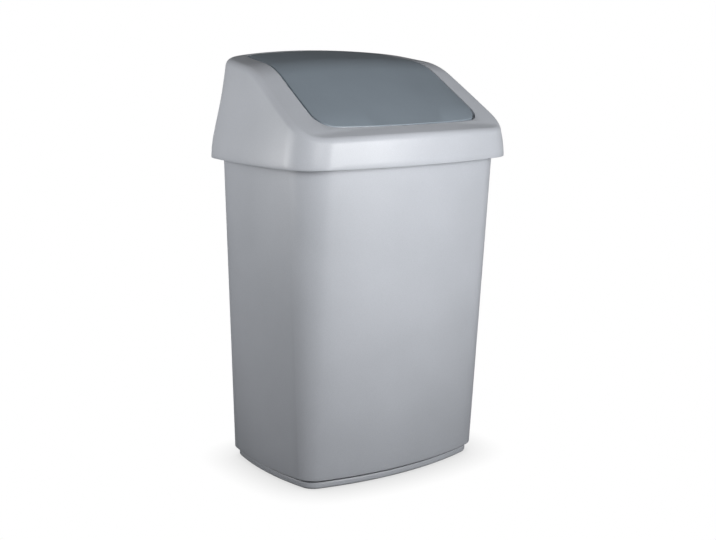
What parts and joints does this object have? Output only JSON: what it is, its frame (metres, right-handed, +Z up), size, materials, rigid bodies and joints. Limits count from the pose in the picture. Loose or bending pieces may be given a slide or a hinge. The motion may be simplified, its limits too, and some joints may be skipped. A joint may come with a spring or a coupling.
{
  "type": "swing-top kitchen bin",
  "caption": "Free-standing kitchen waste bin: tapered bucket with bowed walls, lift-off sloping hood, and a pivoted swing flap that falls shut.",
  "frame": {"origin": "on the floor under the middle of the bin's plan outline", "axes": "+Z up, -Y towards the front where the hood slopes down, +X to the viewer's right"},
  "size_m": [0.33, 0.2574, 0.5116],
  "materials": {
    "bucket_plastic": "silver-grey satin polypropylene",
    "hood_plastic": "silver-grey satin polypropylene",
    "flap_plastic": "slate-grey satin polypropylene"
  },
  "bodies": {
    "bucket": {"bucket": "bucket_plastic"},
    "hood": {"hood": "hood_plastic"},
    "flap": {"swing_flap": "flap_plastic"}
  },
  "joints": [
    {"name": "hood_lift", "type": "slide", "parent": "bucket", "child": "hood", "axis": [0, 0, 1], "range_m": [0, 0.14]},
    {"name": "flap_swing", "type": "hinge", "parent": "hood", "child": "flap", "pos_m": [0, -0.01, 0.47357], "axis": [1, 0, 0], "range_deg": [0, 60]}
  ]
}
